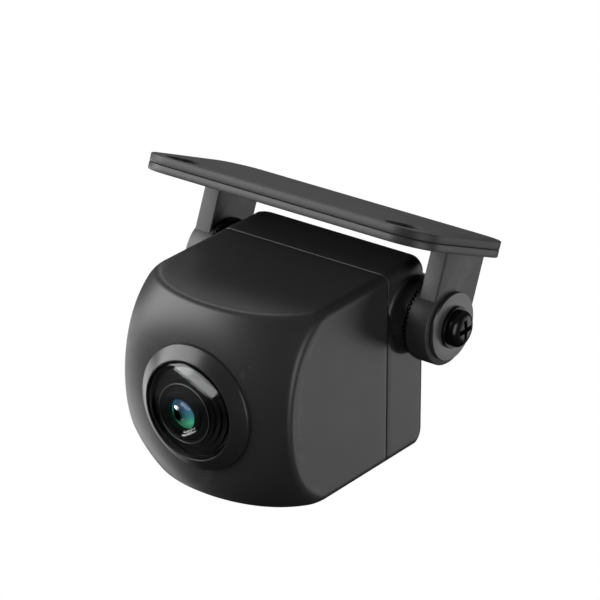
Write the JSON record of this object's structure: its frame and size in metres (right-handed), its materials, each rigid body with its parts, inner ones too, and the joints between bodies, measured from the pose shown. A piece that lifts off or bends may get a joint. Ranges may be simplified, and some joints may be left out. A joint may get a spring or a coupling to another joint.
{
  "type": "backup camera",
  "caption": "Small square-bodied vehicle backup camera with a domed front and wide-angle lens, held by serrated joints in a U-shaped bracket with a stick-on mounting plate.",
  "frame": {"origin": "centre of the mounting face, the top of the adhesive pad", "axes": "+Z is the outward normal of the mounting face; +X runs along the hinge, across the camera; the lens looks towards -Y and down"},
  "size_m": [0.045, 0.0383, 0.0397],
  "materials": {
    "bracket_plastic": "satin charcoal moulded plastic",
    "housing_plastic": "satin charcoal moulded plastic",
    "bezel_plastic": "semi-gloss black turned ring",
    "barrel_plastic": "matt black with fine turned rings",
    "pad_foam": "dark grey acrylic foam tape",
    "seal_rubber": "matt black rubber",
    "black_steel": "black oxide steel",
    "washer_steel": "turned grey steel",
    "screw_steel": "zinc plated steel",
    "brass": "turned brass",
    "lens_glass": "polished, coated",
    "coated_glass": "polished with a blue and green coating",
    "filter_glass": "polished cyan filter",
    "circuit_board": "green solder mask",
    "chip_plastic": "moulded black epoxy",
    "socket_plastic": "natural nylon"
  },
  "bodies": {
    "bracket_body": {"bracket": "bracket_plastic", "adhesive_pad": "pad_foam", "flat_washer_left": "washer_steel", "flat_washer_right": "washer_steel", "lock_washer_left": "black_steel", "lock_washer_right": "black_steel", "pivot_screw_left": "black_steel", "pivot_screw_right": "black_steel"},
    "camera_head": {"front_housing": "housing_plastic", "rear_cover": "housing_plastic", "housing_seal": "seal_rubber", "threaded_insert_left": "brass", "threaded_insert_right": "brass", "cover_screw_upper_left": "black_steel", "cover_screw_upper_right": "black_steel", "cover_screw_lower_left": "black_steel", "cover_screw_lower_right": "black_steel", "cable_gland": "seal_rubber", "lens_bezel": "bezel_plastic", "front_glass": "lens_glass", "lens_barrel": "barrel_plastic", "retaining_ring": "barrel_plastic", "inner_lens": "coated_glass", "lens_spacer": "barrel_plastic", "rear_lens": "coated_glass", "infrared_filter": "filter_glass", "lens_seal": "seal_rubber", "lens_holder": "barrel_plastic", "image_sensor": "chip_plastic", "sensor_board": "circuit_board", "processor_board": "circuit_board", "processor_chip": "chip_plastic", "board_header": "chip_plastic", "wire_socket": "socket_plastic", "board_spacer_left": "brass", "board_spacer_right": "brass", "board_screw_left": "screw_steel", "board_screw_right": "screw_steel", "holder_screw_left": "screw_steel", "holder_screw_right": "screw_steel"}
  },
  "joints": [
    {"name": "tilt", "type": "hinge", "parent": "bracket_body", "child": "camera_head", "pos_m": [0, 0.00538, -0.01176], "axis": [1, 0, 0], "range_deg": [-30, 65]}
  ]
}
